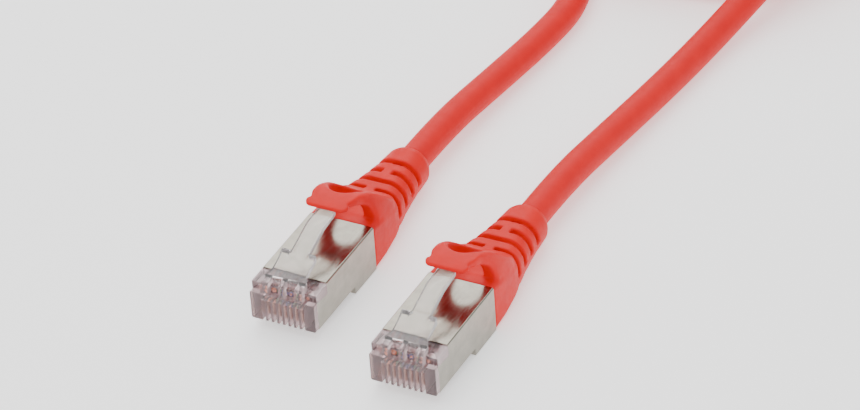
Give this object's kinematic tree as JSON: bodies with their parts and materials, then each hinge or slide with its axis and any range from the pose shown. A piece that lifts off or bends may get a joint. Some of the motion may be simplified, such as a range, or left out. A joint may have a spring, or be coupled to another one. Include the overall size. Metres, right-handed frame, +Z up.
{
  "type": "ethernet patch cable",
  "caption": "Shielded network patch cable: clear modular plugs in folded metal shells, red moulded boots with latch guards, and a round cord wound into a tied coil.",
  "frame": {"origin": "on the surface that the plugs lie on, in the middle of the box round both plugs", "axes": "+Y from the plug noses back along the cord, +Z up from the surface, +X across the plugs towards plug b"},
  "size_m": [0.0654, 0.1847, 0.0147],
  "materials": {
    "clear_body": "clear, glossy, slightly smoky polycarbonate",
    "contact_gold": "polished gold plating",
    "shield_nickel": "satin to bright nickel plating on folded sheet",
    "tinned_copper": "bright tinned wire",
    "inner_mould": "matte natural polyethylene",
    "boot_vinyl": "satin moulded soft vinyl",
    "jacket_vinyl": "matte extruded vinyl",
    "wire_orange": "satin wire insulation",
    "wire_green": "satin wire insulation",
    "wire_blue": "satin wire insulation",
    "wire_brown": "satin wire insulation",
    "copper": "bright stranded copper",
    "foil": "crinkled bright foil",
    "tie_strap": "woven hook and loop strap"
  },
  "bodies": {
    "cable": {"boot_a": "boot_vinyl", "boot_b": "boot_vinyl", "contacts_a": "contact_gold", "contacts_b": "contact_gold", "cord_coil": "jacket_vinyl", "cord_tie": "tie_strap", "drain_wire_a": "tinned_copper", "drain_wire_b": "tinned_copper", "foil_shield_a": "foil", "foil_shield_b": "foil", "inner_mould_a": "inner_mould", "inner_mould_b": "inner_mould", "jacket_a": "jacket_vinyl", "jacket_b": "jacket_vinyl", "lead_a": "jacket_vinyl", "lead_b": "jacket_vinyl", "load_bar_a": "clear_body", "load_bar_b": "clear_body", "nose_housing_a": "clear_body", "nose_housing_b": "clear_body", "pair_blue_a": "wire_blue", "pair_blue_b": "wire_blue", "pair_brown_a": "wire_brown", "pair_brown_b": "wire_brown", "pair_green_a": "wire_green", "pair_green_b": "wire_green", "pair_orange_a": "wire_orange", "pair_orange_b": "wire_orange", "shield_shell_a": "shield_nickel", "shield_shell_b": "shield_nickel", "wire_cores_a": "copper", "wire_cores_b": "copper"},
    "guard_a": {"latch_guard_a": "boot_vinyl"},
    "latch_a": {"latch_a": "clear_body"},
    "guard_b": {"latch_guard_b": "boot_vinyl"},
    "latch_b": {"latch_b": "clear_body"}
  },
  "joints": [
    {"name": "guard_press_a", "type": "hinge", "parent": "cable", "child": "guard_a", "pos_m": [-0.01275, 0.0028, 0.01165], "axis": [1, 0, 0], "range_deg": [0, 25], "stiffness_Nm_per_rad": 0.008},
    {"name": "latch_press_a", "type": "hinge", "parent": "cable", "child": "latch_a", "pos_m": [-0.01275, -0.01715, 0.00846], "axis": [1, 0, 0], "range_deg": [-12.5, 0], "stiffness_Nm_per_rad": 0.008},
    {"name": "guard_press_b", "type": "hinge", "parent": "cable", "child": "guard_b", "pos_m": [0.01275, -0.0047, 0.01165], "axis": [1, 0, 0], "range_deg": [0, 25], "stiffness_Nm_per_rad": 0.008},
    {"name": "latch_press_b", "type": "hinge", "parent": "cable", "child": "latch_b", "pos_m": [0.01275, -0.02465, 0.00846], "axis": [1, 0, 0], "range_deg": [-12.5, 0], "stiffness_Nm_per_rad": 0.008}
  ],
  "couplings": [
    {"joint": "latch_press_a", "follows": "guard_press_a", "ratio": -0.44},
    {"joint": "latch_press_b", "follows": "guard_press_b", "ratio": -0.44}
  ]
}
